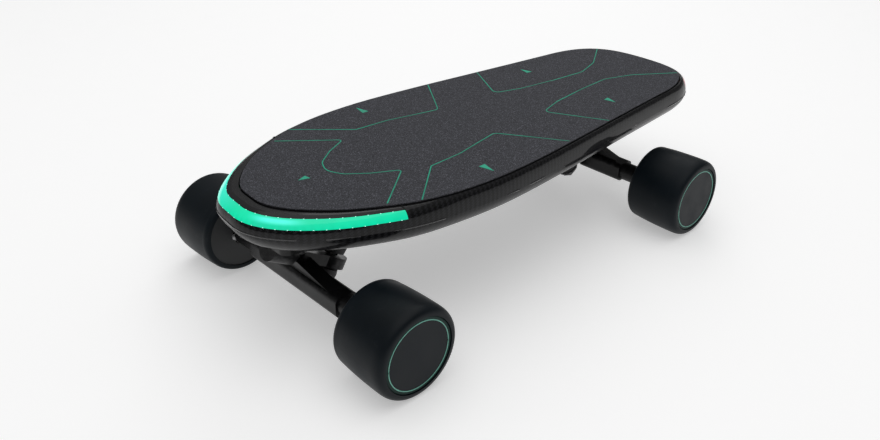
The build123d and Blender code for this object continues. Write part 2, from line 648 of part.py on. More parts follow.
def wheels():
    coils = []
    for side_name, side in (("left", 1), ("right", -1)):
        for end, sign in (("front", 1), ("rear", -1)):
            name = end + "_" + side_name + "_"
            save(name + "tyre", place_wheel(tyre(), sign, side))
            save(name + "cap", place_wheel(cap(), sign, side))
            save(name + "bearings", group([place_wheel(piece, sign, side) for piece in bearing_pair()]))
            if end == "front":
                save(name + "core", place_wheel(core(), sign, side))
            else:
                save(name + "rotor_can", place_wheel(rotor_can(), sign, side))
                save(name + "magnets", group([place_wheel(piece, sign, side) for piece in magnets()]))
                save(name + "stator", place_wheel(stator(), sign, side))
                coils += [place_wheel(piece, sign, side) for piece in windings()]
    save("rear_windings", group(coils))


# ---- inside the deck ----

def battery():
    radius, length = CELL
    cells = []
    rows = [(i - (CELL_ROWS - 1) / 2) * CELL_PITCH + CELLS_X for i in range(CELL_ROWS)]
    low = FLOOR_Z + HOLDER_WALL
    cell = Rot(90, 0, 0) * Cylinder(radius, length)
    for x in rows:
        for side in (1, -1):
            cells.append(Pos(x, side * (length / 2 + CELL_GAP), low + radius) * cell)
    x0, x1 = rows[0] - CELL_PITCH / 2 - 2, rows[-1] + CELL_PITCH / 2 + 2
    y1 = length + CELL_GAP + HOLDER_WALL
    holder = block(x0, x1, -y1, y1, FLOOR_Z, low + radius) - block(x0 + 2, x1 - 2, -y1 + 2, y1 - 2, low, 200)
    holder = holder + block(x0, x1, -1, 1, FLOOR_Z, low + radius)
    saddles = [block(x - 1, x + 1, side * 2, side * (length + 1), low, low + radius * 0.55)
               for x in [r + CELL_PITCH / 2 for r in rows[:-1]] for side in (1, -1)]
    for saddle in saddles:
        holder = holder + saddle
    for cell in cells:
        holder = holder - cell
    save("battery_holder", holder)
    save("battery_cells", group(cells))
    top = low + 2 * radius
    save("battery_board", block(x0 + 6, x1 - 40, -BUS_BOARD_HALF, BUS_BOARD_HALF, top, top + PCB_THICK))


def electronics():
    battery()
    board_z = FLOOR_Z + SINK_HEIGHT
    sink = block(*SINK_X, -SINK_HALF, SINK_HALF, FLOOR_Z, board_z)
    for i in range(SINK_SLOTS):
        y = (i - (SINK_SLOTS - 1) / 2) * SINK_PITCH
        slot = block(SINK_X[0] + SINK_BASE, SINK_X[1] - SINK_BASE, y - SINK_SLOT / 2, y + SINK_SLOT / 2,
                     FLOOR_Z + SINK_BASE, board_z + 1)
        sink = sink - slot
    save("controller_heat_sink", sink)
    save("controller_board", block(*BOARD_X, -BOARD_HALF, BOARD_HALF, board_z, board_z + PCB_THICK))
    under_lid = DECK_TOP - LID_LOW
    sensors = [rod(SENSOR_RADIUS, under_lid - SENSOR_THICK, under_lid, x, side * SENSOR_Y)
               for x in SENSOR_X for side in (1, -1)]
    save("load_sensors", group(sensors))

    button = rod(BUTTON_RADIUS, BELLY_Z + BUTTON_RECESS, FLOOR_Z + 1, BUTTON_X, BUTTON_Y)
    wide = BUTTON_RADIUS + BUTTON_FLANGE
    button = button + rod(wide, FLOOR_Z + SKIN, FLOOR_Z + SKIN + 1.2, BUTTON_X, BUTTON_Y)
    button = button + rod(BUTTON_STEM, FLOOR_Z + SKIN + 1, FLOOR_Z + STEM_TOP, BUTTON_X, BUTTON_Y)
    save("power_button", button)
    switch_low = FLOOR_Z + STEM_TOP + BUTTON_TRAVEL + 2 * FIT
    save("power_switch", block(BUTTON_X - SWITCH_HALF, BUTTON_X + SWITCH_HALF, BUTTON_Y - SWITCH_HALF,
                               BUTTON_Y + SWITCH_HALF, switch_low, board_z))

    socket = rod(PORT_RADIUS - FIT, BELLY_Z + COVER_THICK + 2 * FIT, board_z, PORT_X, PORT_Y)
    socket = socket + rod(PORT_RADIUS + SOCKET_FLANGE, FLOOR_Z, FLOOR_Z + 2, PORT_X, PORT_Y)
    socket = socket - rod(PORT_BORE, BELLY_Z - 5, FLOOR_Z + 9, PORT_X, PORT_Y)
    save("charge_socket", socket)
    flap = rod(COVER_RADIUS, BELLY_Z, BELLY_Z + COVER_THICK, PORT_X, PORT_Y)
    save("charge_cover", flap)


def screws():
    pieces = []
    for x, y in SCREW_PLACES:
        seat = DECK_TOP - LID_TOP - SCREW_HEAD_HIGH
        head = rod(SCREW_HEAD, seat, DECK_TOP - LID_TOP, x, y)
        shank = rod(SCREW_SHANK, DECK_TOP - LID_LOW - SCREW_DEPTH, seat, x, y)
        pieces.append(head + shank)
    save("lid_screws", group(pieces))


main_deck()
lights()
electronics()
screws()
trucks()
wheels()
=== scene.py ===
import math

import bmesh
import bpy
from mathutils import Matrix, Vector


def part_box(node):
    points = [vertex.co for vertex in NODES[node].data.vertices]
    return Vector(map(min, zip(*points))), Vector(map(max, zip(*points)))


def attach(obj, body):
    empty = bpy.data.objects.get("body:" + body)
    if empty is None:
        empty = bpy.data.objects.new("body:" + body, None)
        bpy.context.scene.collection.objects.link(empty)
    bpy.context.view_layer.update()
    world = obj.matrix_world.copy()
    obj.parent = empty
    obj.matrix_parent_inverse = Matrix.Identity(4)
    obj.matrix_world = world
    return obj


bl_info = {
    "name": "Electric Skateboard Finish",
    "version": (1, 0, 0),
    "blender": (4, 5, 0),
    "location": "3D View > Sidebar > Skateboard",
    "description": "Finishes and printed details for an electric skateboard with a lit nose",
    "category": "Object",
}

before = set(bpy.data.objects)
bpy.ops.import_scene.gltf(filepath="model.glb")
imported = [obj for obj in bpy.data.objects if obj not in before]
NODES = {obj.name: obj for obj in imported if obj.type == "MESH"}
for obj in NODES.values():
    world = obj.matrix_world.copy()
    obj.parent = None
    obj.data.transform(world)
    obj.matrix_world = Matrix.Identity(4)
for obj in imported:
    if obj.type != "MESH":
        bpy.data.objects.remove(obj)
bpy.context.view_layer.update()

MM = 0.001
GRIP_LOW, GRIP_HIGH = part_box("grip_sheet")
DECK_TOP = GRIP_HIGH.z
LENS_LOW, LENS_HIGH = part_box("front_light_lens")
CREASE_DEPTH = 17.0 * MM    # the widest line of the shell, below the grip sheet
CREASE_Z = DECK_TOP - CREASE_DEPTH
WHEELS = [(end, side) for end in ("front", "rear") for side in ("left", "right")]

EDGE_MARGIN = 0.4 * MM      # printed lines stop this far inside the grip sheet's edge
CORNER_STEPS = 9            # points on each rounded corner of a printed line
RING_HEIGHT = 0.12 * MM     # how far the ring's paint stands above the cap
RING_STEPS = 128
SPOT_ROUND = 0.45           # thickness of a bright spot, as a share of its length
FLOOR_HALF = 30.0
SENSOR_WIDTH = 36.0         # of the camera, in millimetres
FLAT_POINTINESS = 0.52      # Pointiness where an edge begins
HALF_TURN_SHARE = 0.7071    # one over the square root of two, for tows at 45 degrees
UPWARD = 0.72               # how level a face is before the twill lies flat on it
LENS_BARS = 62.0            # how often the faint bars repeat round the nose lens


# ---------------------------------------------------------------- settings

class BoardFinish(bpy.types.PropertyGroup):
    """Colours and printed sizes of the deck."""
    line_colour: bpy.props.FloatVectorProperty(
        name="Line colour", description="Ink of the lines printed on the grip sheet",
        subtype="COLOR", size=3, min=0, max=1, default=(0.015, 0.40, 0.25))
    line_width: bpy.props.FloatProperty(
        name="Line width", description="Width of a printed line", unit="LENGTH", default=1.05 * MM)
    line_height: bpy.props.FloatProperty(
        name="Line height", description="How far the ink stands above the grit", unit="LENGTH",
        default=0.16 * MM)
    grit_colour: bpy.props.FloatVectorProperty(
        name="Grit colour", description="Body colour of the grip sheet",
        subtype="COLOR", size=3, min=0, max=1, default=(0.0415, 0.0425, 0.050))
    grit_size: bpy.props.FloatProperty(
        name="Grit size", description="Spacing of the grains", unit="LENGTH", default=0.66 * MM)
    weave_size: bpy.props.FloatProperty(
        name="Weave size", description="Width of one carbon tow", unit="LENGTH", default=1.7 * MM)
    # the seam is drawn as a dark bar of painted shadow
    seam_size: bpy.props.FloatProperty(
        name="Seam size", description="Width of the dark seam at the ends of the nose frame", unit="LENGTH",
        default=0.9 * MM)
    crease_size: bpy.props.FloatProperty(
        name="Crease size", description="Thickness of the raised line round the shell", unit="LENGTH",
        default=0.9 * MM)
    shell_colour: bpy.props.FloatVectorProperty(
        name="Shell colour", description="Dark tows of the carbon shell",
        subtype="COLOR", size=3, min=0, max=1, default=(0.0035, 0.0035, 0.004))


class LightFinish(bpy.types.PropertyGroup):
    """Colours of the nose and tail lights."""
    nose_colour: bpy.props.FloatVectorProperty(
        name="Nose light", description="Colour of the lit nose lens",
        subtype="COLOR", size=3, min=0, max=1, default=(0.0, 0.74, 0.40))
    # the pale colour is that of the painted highlight and of the paler side of the nose lens
    nose_pale: bpy.props.FloatVectorProperty(
        name="Nose light, pale", description="Colour of the palest part of the nose lens",
        subtype="COLOR", size=3, min=0, max=1, default=(0.07, 0.97, 0.78))
    nose_power: bpy.props.FloatProperty(
        name="Nose power", description="Brightness of the nose lens", min=0, default=0.98)
    tail_colour: bpy.props.FloatVectorProperty(
        name="Tail light", description="Colour of the tail lens",
        subtype="COLOR", size=3, min=0, max=1, default=(0.42, 0.02, 0.035))
    spot_pitch: bpy.props.FloatProperty(
        name="Spot pitch", description="Distance between two bright spots", unit="LENGTH", default=9.5 * MM)
    spot_power: bpy.props.FloatProperty(
        name="Spot power", description="Brightness of the bright spots", min=0, default=0.95)
    spot_size: bpy.props.FloatProperty(
        name="Spot size", description="Length of one bright spot", unit="LENGTH", default=1.15 * MM)


class WheelFinish(bpy.types.PropertyGroup):
    """Colours and printed sizes of the wheels."""
    tyre_colour: bpy.props.FloatVectorProperty(
        name="Tyre colour", description="Urethane of the tyres",
        subtype="COLOR", size=3, min=0, max=1, default=(0.0026, 0.0056, 0.0084))
    cap_colour: bpy.props.FloatVectorProperty(
        name="Cap colour", description="Middle of the wheel caps",
        subtype="COLOR", size=3, min=0, max=1, default=(0.0060, 0.0088, 0.0118))
    border_colour: bpy.props.FloatVectorProperty(
        name="Border colour", description="Cap outside the ring",
        subtype="COLOR", size=3, min=0, max=1, default=(0.003, 0.022, 0.018))
    ring_colour: bpy.props.FloatVectorProperty(
        name="Ring colour", description="Thin ring on the wheel caps",
        subtype="COLOR", size=3, min=0, max=1, default=(0.16, 0.47, 0.37))
    ring_radius: bpy.props.FloatProperty(
        name="Ring radius", description="Radius of the thin ring", unit="LENGTH", default=29.8 * MM)
    ring_width: bpy.props.FloatProperty(
        name="Ring width", description="Width of the thin ring", unit="LENGTH", default=0.85 * MM)


class StageSettings(bpy.types.PropertyGroup):
    """Camera and studio light."""
    lens: bpy.props.FloatProperty(
        name="Lens", description="Focal length on a 36 mm sensor, in millimetres", default=34.73)
    azimuth: bpy.props.FloatProperty(
        name="Azimuth", description="Camera's turn about the board", subtype="ANGLE",
        default=math.radians(136.01))
    elevation: bpy.props.FloatProperty(
        name="Elevation", description="Camera above the floor", subtype="ANGLE",
        default=math.radians(29.33))
    roll: bpy.props.FloatProperty(
        name="Roll", description="Camera's turn about its own axis", subtype="ANGLE",
        default=math.radians(1.37))
    place: bpy.props.FloatVectorProperty(
        name="Place", description="Where the camera stands", subtype="TRANSLATION", unit="LENGTH",
        size=3, default=(0.5532, 0.5187, 0.4373))
    floor_tone: bpy.props.FloatProperty(
        name="Floor tone", description="Lightness of the floor", min=0, max=1, default=0.86)
    floor_glow: bpy.props.FloatProperty(
        name="Floor glow", description="Light of the floor itself, which keeps the shadow pale", min=0,
        default=0.385)
    key_power: bpy.props.FloatProperty(
        name="Key power", description="Power of the softbox overhead, in watts", min=0, default=17.5)
    world_power: bpy.props.FloatProperty(
        name="Room light above", description="Strength of the even light from above", min=0, default=0.41)
    world_side: bpy.props.FloatProperty(
        name="Room light at the sides", description="Strength of the even light from the horizon", min=0,
        default=0.06)
    backdrop: bpy.props.FloatProperty(
        name="Backdrop", description="Lightness of the backdrop beyond the floor", min=0, default=0.93)


# ---------------------------------------------------------------- small helpers

def link(name, mesh):
    obj = bpy.data.objects.new(name, mesh)
    bpy.context.scene.collection.objects.link(obj)
    return obj


def finish_piece(obj, material, body):
    """Give a finished mesh its material and the body that it rides on."""
    if material.name not in obj.data.materials:
        obj.data.materials.clear()
        obj.data.materials.append(material)
    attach(obj, body)
    return obj


def paint(names, material):
    """Put a material on CAD nodes that keep their own shape."""
    for name in names:
        mesh = NODES[name].data
        mesh.materials.clear()
        mesh.materials.append(material)


def scaled(colour, share):
    return tuple(c * share for c in colour)


def middle(name):
    low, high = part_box(name)
    return (low + high) / 2


# ---------------------------------------------------------------- shader groups

class Tree:
    """A node tree with short calls for adding and joining nodes."""

    def __init__(self, tree):
        self.tree = tree

    def node(self, kind, **settings):
        made = self.tree.nodes.new(kind)
        for key, value in settings.items():
            setattr(made, key, value)
        return made

    def join(self, source, target):
        self.tree.links.new(source, target)

    def feed(self, socket, value):
        if isinstance(value, bpy.types.NodeSocket):
            self.join(value, socket)
        elif value is not None:
            socket.default_value = value

    def math(self, operation, a, b=None, clamp=False):
        made = self.node("ShaderNodeMath", operation=operation, use_clamp=clamp)
        self.feed(made.inputs[0], a)
        self.feed(made.inputs[1], b)
        return made.outputs[0]

    def mix(self, factor, a, b):
        made = self.node("ShaderNodeMix", data_type="RGBA")
        self.feed(made.inputs["Factor"], factor)
        for socket, value in ((made.inputs[6], a), (made.inputs[7], b)):
            self.feed(socket, value if isinstance(value, bpy.types.NodeSocket) else (*value, 1))
        return made.outputs[2]

    def ramp(self, value, low, high, to_low=0.0, to_high=1.0, smooth=True):
        made = self.node("ShaderNodeMapRange", interpolation_type="SMOOTHSTEP" if smooth else "LINEAR")
        self.feed(made.inputs["Value"], value)
        for key, number in (("From Min", low), ("From Max", high), ("To Min", to_low), ("To Max", to_high)):
            self.feed(made.inputs[key], number)
        return made.outputs["Result"]

    def noise(self, vector, scale, detail=2.0, rough=0.5):
        made = self.node("ShaderNodeTexNoise")
        self.feed(made.inputs["Vector"], vector)
        self.feed(made.inputs["Scale"], scale)
        made.inputs["Detail"].default_value = detail
        made.inputs["Roughness"].default_value = rough
        return made.outputs["Fac"]

    def place(self):
        return self.node("ShaderNodeTexCoord").outputs["Object"]

    def split(self, vector):
        made = self.node("ShaderNodeSeparateXYZ")
        self.feed(made.inputs[0], vector)
        return made.outputs

    def bump(self, height, strength, distance, normal=None):
        made = self.node("ShaderNodeBump")
        made.inputs["Strength"].default_value = strength
        made.inputs["Distance"].default_value = distance
        self.feed(made.inputs["Height"], height)
        self.feed(made.inputs["Normal"], normal)
        return made.outputs["Normal"]


def new_group(name, inputs, outputs):
    """A shader group with named sockets. Inputs are (name, type, default), outputs are (name, type)."""
    group = bpy.data.node_groups.new(name, "ShaderNodeTree")
    for label, kind, default in inputs:
        socket = group.interface.new_socket(label, in_out="INPUT", socket_type=kind)
        if default is not None:
            socket.default_value = default
    for label, kind in outputs:
        group.interface.new_socket(label, in_out="OUTPUT", socket_type=kind)
    tree = Tree(group)
    return tree, tree.node("NodeGroupInput").outputs, tree.node("NodeGroupOutput").inputs


def fine_grain_group():
    """Even speckle and slow cloudiness, for coated, moulded and cast surfaces."""
    tree, given, out = new_group(
        "Fine grain",
        [("Grain", "NodeSocketFloat", 900.0), ("Cloud", "NodeSocketFloat", 30.0)],
        [("Grain", "NodeSocketFloat"), ("Cloud", "NodeSocketFloat")])
    place = tree.place()
    tree.join(tree.noise(place, given["Grain"], 3.0, 0.6), out["Grain"])
    tree.join(tree.noise(place, given["Cloud"], 4.0, 0.55), out["Cloud"])
    return tree.tree


def edge_wear_group():
    """Mask of the raised edges, broken up by noise."""
    tree, given, out = new_group(
        "Edge wear", [("Sharpness", "NodeSocketFloat", 0.12), ("Scale", "NodeSocketFloat", 220.0)],
        [("Wear", "NodeSocketFloat")])
    shape = tree.node("ShaderNodeNewGeometry").outputs["Pointiness"]
    high = tree.math("ADD", FLAT_POINTINESS, given["Sharpness"])
    edge = tree.ramp(shape, FLAT_POINTINESS, high)
    broken = tree.ramp(tree.noise(tree.place(), given["Scale"], 3.0), 0.45, 0.62)
    tree.join(tree.math("MULTIPLY", edge, broken, clamp=True), out["Wear"])
    return tree.tree


def weave_group():
    """Two by two twill of flat tows: which way each tow runs, its rounding and its gaps."""
    tree, given, out = new_group(
        "Carbon twill", [("Tow", "NodeSocketFloat", 0.0017)],
        [("Warp", "NodeSocketFloat"), ("Height", "NodeSocketFloat")])
    place = tree.split(tree.place())
    facing = tree.split(tree.node("ShaderNodeNewGeometry").outputs["Normal"])
    flat = tree.math("GREATER_THAN", tree.math("ABSOLUTE", facing["Z"]), UPWARD)
    side = tree.math("GREATER_THAN", tree.math("ABSOLUTE", facing["Y"]), tree.math("ABSOLUTE", facing["X"]))

    def choose(test, yes, no):
        keep = tree.math("MULTIPLY", yes, test)
        other = tree.math("MULTIPLY", no, tree.math("SUBTRACT", 1.0, test))
        return tree.math("ADD", keep, other)

    along = choose(flat, place["X"], choose(side, place["X"], place["Y"]))
    across = choose(flat, place["Y"], place["Z"])
    sum_side = tree.math("MULTIPLY", tree.math("ADD", along, across), HALF_TURN_SHARE)
    u = tree.math("DIVIDE", sum_side, given["Tow"])
    difference = tree.math("MULTIPLY", tree.math("SUBTRACT", along, across), HALF_TURN_SHARE)
    v = tree.math("DIVIDE", difference, given["Tow"])
    cell = tree.math("ADD", tree.math("FLOOR", u), tree.math("FLOOR", v))
    phase = tree.math("FLOORED_MODULO", cell, 4.0)
    warp = tree.math("LESS_THAN", phase, 2.0)
    tree.join(warp, out["Warp"])

    def round_tow(value):
        part = tree.math("SUBTRACT", tree.math("FRACT", value), 0.5)
        return tree.math("SUBTRACT", 1.0, tree.math("MULTIPLY", tree.math("MULTIPLY", part, part), 4.0))

    tree.join(choose(warp, round_tow(u), round_tow(v)), out["Height"])
    return tree.tree


def make_groups():
    return {"grain": fine_grain_group(), "wear": edge_wear_group(), "weave": weave_group()}


GROUPS = {}


def use_group(tree, key, **values):
    if not GROUPS:
        GROUPS.update(make_groups())
    made = tree.node("ShaderNodeGroup")
    made.node_tree = GROUPS[key]
    for name, value in values.items():
        made.inputs[name].default_value = value
    return made.outputs


# ---------------------------------------------------------------- materials

def start_material(name, **settings):
    """A material with one Principled shader. Plain values go straight on the shader's sockets."""
    material = bpy.data.materials.new(name)
    material.use_nodes = True
    tree = Tree(material.node_tree)
    shader = material.node_tree.nodes["Principled BSDF"]
    for key, value in settings.items():
        label = key.replace("_", " ").title().replace("Ior", "IOR")
        shader.inputs[label].default_value = (*value, 1) if isinstance(value, (tuple, list)) else value
    return material, tree, shader.inputs


def coated(name, colour, rough=0.45, metal=0.0, grain=900.0, bump=0.05, wear=0.0, worn=(0.2, 0.2, 0.2),
           vary=0.25, spread=0.08, **settings):
    """A moulded, cast or painted finish: speckle, slow variation, soft bump and worn edges."""
    material, tree, shader = start_material(name, **settings)
    grains = use_group(tree, "grain", Grain=grain)
    dark = tuple(c * (1 - vary) for c in colour)
    light = tuple(min(1.0, c * (1 + vary)) for c in colour)
    shade = tree.mix(tree.ramp(grains["Cloud"], 0.3, 0.7), dark, light)
    roughness = tree.ramp(grains["Cloud"], 0.3, 0.7, rough - spread, rough + spread)
    shader["Metallic"].default_value = metal
    if wear > 0:
        mask = tree.math("MULTIPLY", use_group(tree, "wear")["Wear"], wear)
        shade = tree.mix(mask, shade, worn)
    tree.join(shade, shader["Base Color"])
    tree.join(roughness, shader["Roughness"])
    tree.join(tree.bump(grains["Grain"], bump, 0.0002), shader["Normal"])
    return material


def brushed(name, colour, rough=0.3, stretch=(40.0, 900.0, 900.0)):
    """Bare metal with fine drawn lines."""
    material, tree, shader = start_material(name, metallic=1.0)
    mapping = tree.node("ShaderNodeMapping")
    mapping.inputs["Scale"].default_value = stretch
    tree.join(tree.place(), mapping.inputs["Vector"])
    lines = tree.noise(mapping.outputs[0], 1.0, 3.0)
    tree.join(tree.mix(lines, scaled(colour, 0.8), colour), shader["Base Color"])
    tree.join(tree.ramp(lines, 0.3, 0.7, rough - 0.08, rough + 0.1), shader["Roughness"])
    tree.join(tree.bump(lines, 0.08, 0.0001), shader["Normal"])
    return material


def grit_material(finish):
    """Dark grit: pale and dark grains over a charcoal ground, with a rough bump."""
    material, tree, shader = start_material("grip_grit", specular_ior_level=0.35)
    place = tree.place()
    scale = 1.0 / finish.grit_size
    fine = tree.noise(place, scale, 2.0, 0.75)
    grains = tree.node("ShaderNodeTexVoronoi")
    grains.inputs["Scale"].default_value = scale * 0.9
    tree.join(place, grains.inputs["Vector"])
    tone = tree.split(grains.outputs["Color"])["X"]
    colour = tuple(finish.grit_colour)
    ground = tree.mix(tree.ramp(fine, 0.32, 0.68), scaled(colour, 0.15), scaled(colour, 2.3))
    sparkle = tree.math("MULTIPLY", tree.ramp(tone, 0.82, 0.98), 0.6)
    speckled = tree.mix(sparkle, ground, scaled(colour, 4.6))
    pits = tree.math("MULTIPLY", tree.ramp(tone, 0.16, 0.02), 0.7)
    tree.join(tree.mix(pits, speckled, scaled(colour, 0.15)), shader["Base Color"])
    tree.join(tree.ramp(fine, 0.2, 0.8, 0.72, 0.95), shader["Roughness"])
    height = tree.math("ADD", fine, tree.math("MULTIPLY", grains.outputs["Distance"], -0.6))
    tree.join(tree.bump(height, 0.55, 0.0005), shader["Normal"])
    return material


def carbon_material(finish):
    """Clear-coated twill: tows in two directions differ in tone, which is a painted sheen, and in the way
    they catch light; the rounded sides of each tow are darkened as painted shade.
    """
    material, tree, shader = start_material(
        "carbon_twill", coat_weight=0.40, coat_roughness=0.035, specular_ior_level=0.05)
    weave = use_group(tree, "weave", Tow=finish.weave_size)
    cloud = use_group(tree, "grain", Grain=700.0, Cloud=9.0)["Cloud"]
    dark = tuple(finish.shell_colour)
    # painted sheen: the tows of one direction are painted 3.6 times lighter than the other, standing in for
    # the light that they reflect
    light = scaled(dark, 3.6)
    tows = tree.mix(weave["Warp"], dark, light)
    # painted shade: the rounded sides of each tow fade to near black
    tows_with_painted_shade = tree.mix(tree.ramp(weave["Height"], 0.0, 0.55), (0.001, 0.001, 0.001), tows)
    tree.join(tows_with_painted_shade, shader["Base Color"])
    rough = tree.ramp(weave["Warp"], 0.0, 1.0, 0.34, 0.46, smooth=False)
    tree.join(tree.math("ADD", rough, tree.math("MULTIPLY", cloud, 0.06)), shader["Roughness"])
    tree.join(tree.bump(weave["Height"], 0.12, 0.0002), shader["Normal"])
    return material


def lens_material(name, colour, pale, power, light):
    """A lit lens: its colour drifts along the arc, with a painted highlight, a pale stripe in the middle of
    its height where the arc faces the camera, and a paler other side.
    """
    material, tree, shader = start_material(
        name, roughness=0.2, coat_weight=0.3, coat_roughness=0.05, specular_ior_level=0.3,
        emission_strength=power)
    place = tree.split(tree.place())
    low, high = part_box(light)
    centre = (0.55 * low.x + 0.45 * high.x)
    turn = tree.math("ARCTAN2", place["Y"], tree.math("SUBTRACT", place["X"], centre))
    up = tree.ramp(place["Z"], low.z, high.z, smooth=False)
    drift = use_group(tree, "grain", Grain=260.0, Cloud=22.0)
    band = tree.math("MULTIPLY", tree.ramp(up, 0.30, 0.75), tree.ramp(up, 1.0, 0.8))
    # painted highlight: a pale stripe at a turn of 0.75 radians, where the arc faces the camera, in the
    # middle of the lens's height
    from_painted_highlight = tree.math("ABSOLUTE", tree.math("SUBTRACT", turn, 0.75))
    painted_highlight = tree.math("MULTIPLY", band, tree.ramp(from_painted_highlight, 0.5, 0.1))
    # paler towards the other side of the arc; this and the painted highlight are mixed towards the pale
    # colour
    far = tree.ramp(turn, 0.1, -0.9)
    highlight_and_pale_end = tree.math("ADD", tree.math("MULTIPLY", painted_highlight, 0.95), tree.math("MULTIPLY", far, 0.55))
    clouds = tree.math("MULTIPLY", tree.ramp(drift["Cloud"], 0.4, 0.7), 0.18)
    highlight_and_pale_end = tree.math("ADD", highlight_and_pale_end, clouds, clamp=True)
    pitch = tree.math("SINE", tree.math("MULTIPLY", turn, LENS_BARS))
    bars = tree.math("MULTIPLY", tree.ramp(pitch, -1.0, 1.0), 0.35)
    deep = scaled(colour, 0.78)
    shade = tree.mix(tree.ramp(drift["Cloud"], 0.35, 0.65), colour, deep)
    shade = tree.mix(tree.math("MULTIPLY", bars, tree.ramp(up, 0.7, 0.1)), shade, deep)
    shade = tree.mix(highlight_and_pale_end, shade, pale)
    tree.join(shade, shader["Emission Color"])
    tree.join(tree.mix(0.85, shade, (0, 0, 0)), shader["Base Color"])
    tree.join(tree.bump(drift["Grain"], 0.04, 0.0003), shader["Normal"])
    return material


def cap_material(finish, name, wheel):
    """Wheel cap: satin middle and a darker, tinted border outside the ring."""
    material, tree, shader = start_material(name, specular_ior_level=0.16)
    centre = middle(wheel + "_tyre")
    mapping = tree.node("ShaderNodeMapping")
    mapping.inputs["Location"].default_value = (-centre.x, 0, -centre.z)
    tree.join(tree.place(), mapping.inputs["Vector"])
    place = tree.split(mapping.outputs[0])
    square = tree.math("ADD", tree.math("MULTIPLY", place["X"], place["X"]),
                       tree.math("MULTIPLY", place["Z"], place["Z"]))
    radius = tree.math("SQRT", square)
    grains = use_group(tree, "grain", Grain=1400.0, Cloud=45.0)
    colour = tuple(finish.cap_colour)
    disc = tree.mix(tree.ramp(grains["Cloud"], 0.3, 0.7), scaled(colour, 0.88), scaled(colour, 1.12))
    border = tree.ramp(radius, finish.ring_radius, finish.ring_radius + 0.4 * MM)
    tree.join(tree.mix(border, disc, tuple(finish.border_colour)), shader["Base Color"])
    tree.join(tree.ramp(grains["Cloud"], 0.3, 0.7, 0.42, 0.52), shader["Roughness"])
    tree.join(tree.bump(grains["Grain"], 0.05, 0.0002), shader["Normal"])
    return material


def tyre_material(finish):
    """Satin cast urethane with faint mould haze."""
    material, tree, shader = start_material("tyre_urethane", specular_ior_level=0.16)
    grains = use_group(tree, "grain", Grain=520.0, Cloud=26.0)
    colour = tuple(finish.tyre_colour)
    shade = tree.mix(tree.ramp(grains["Cloud"], 0.3, 0.7), scaled(colour, 0.85), scaled(colour, 1.2))
    dust = tree.math("MULTIPLY", tree.ramp(tree.noise(tree.place(), 75.0, 6.0, 0.7), 0.55, 0.8), 0.25)
    tree.join(tree.mix(dust, shade, (0.035, 0.037, 0.040)), shader["Base Color"])
    tree.join(tree.ramp(grains["Cloud"], 0.3, 0.7, 0.40, 0.50), shader["Roughness"])
    tree.join(tree.bump(grains["Grain"], 0.06, 0.0002), shader["Normal"])
    return material


# ---------------------------------------------------------------- geometry trees

def new_shape_tree(name, inputs):
    """A geometry tree with named inputs, and its input and output sockets."""
    tree = bpy.data.node_groups.new(name, "GeometryNodeTree")
    tree.interface.new_socket("Geometry", in_out="INPUT", socket_type="NodeSocketGeometry")
    for label, kind in inputs:
        tree.interface.new_socket(label, in_out="INPUT", socket_type=kind)
    tree.interface.new_socket("Geometry", in_out="OUTPUT", socket_type="NodeSocketGeometry")
    build = Tree(tree)
    return build, build.node("NodeGroupInput").outputs, build.node("NodeGroupOutput").inputs


def close_tree(build, shape, material, out):
    """Realize instances, set the material and hand the shape out."""
    real = build.node("GeometryNodeRealizeInstances")
    build.join(shape, real.inputs[0])
    finish = build.node("GeometryNodeSetMaterial")
    build.join(real.outputs[0], finish.inputs["Geometry"])
    build.join(material, finish.inputs["Material"])
    build.join(finish.outputs[0], out["Geometry"])


def printed_line_tree():
    """Sweeps a flat bar along each path, with its corners rounded by the radius kept on each point."""
    build, given, out = new_shape_tree(
        "Printed line", [("Width", "NodeSocketFloat"), ("Height", "NodeSocketFloat"),
                         ("Material", "NodeSocketMaterial")])
    path = build.node("GeometryNodeMeshToCurve")
    build.join(given["Geometry"], path.inputs["Mesh"])
    corner = build.node("GeometryNodeInputNamedAttribute", data_type="FLOAT")
    corner.inputs["Name"].default_value = "corner"
    rounded = build.node("GeometryNodeFilletCurve", mode="POLY")
    rounded.inputs["Count"].default_value = CORNER_STEPS
    rounded.inputs["Limit Radius"].default_value = True
    build.join(path.outputs[0], rounded.inputs["Curve"])
    build.join(corner.outputs["Attribute"], rounded.inputs["Radius"])
    level = build.node("GeometryNodeSetCurveNormal", mode="Z_UP")
    build.join(rounded.outputs[0], level.inputs["Curve"])
    bar = build.node("GeometryNodeCurvePrimitiveQuadrilateral", mode="RECTANGLE")
    build.join(given["Width"], bar.inputs["Width"])
    build.join(given["Height"], bar.inputs["Height"])
    sweep = build.node("GeometryNodeCurveToMesh")
    sweep.inputs["Fill Caps"].default_value = True
    build.join(level.outputs[0], sweep.inputs["Curve"])
    build.join(bar.outputs[0], sweep.inputs["Profile Curve"])
    close_tree(build, sweep.outputs[0], given["Material"], out)
    return build.tree


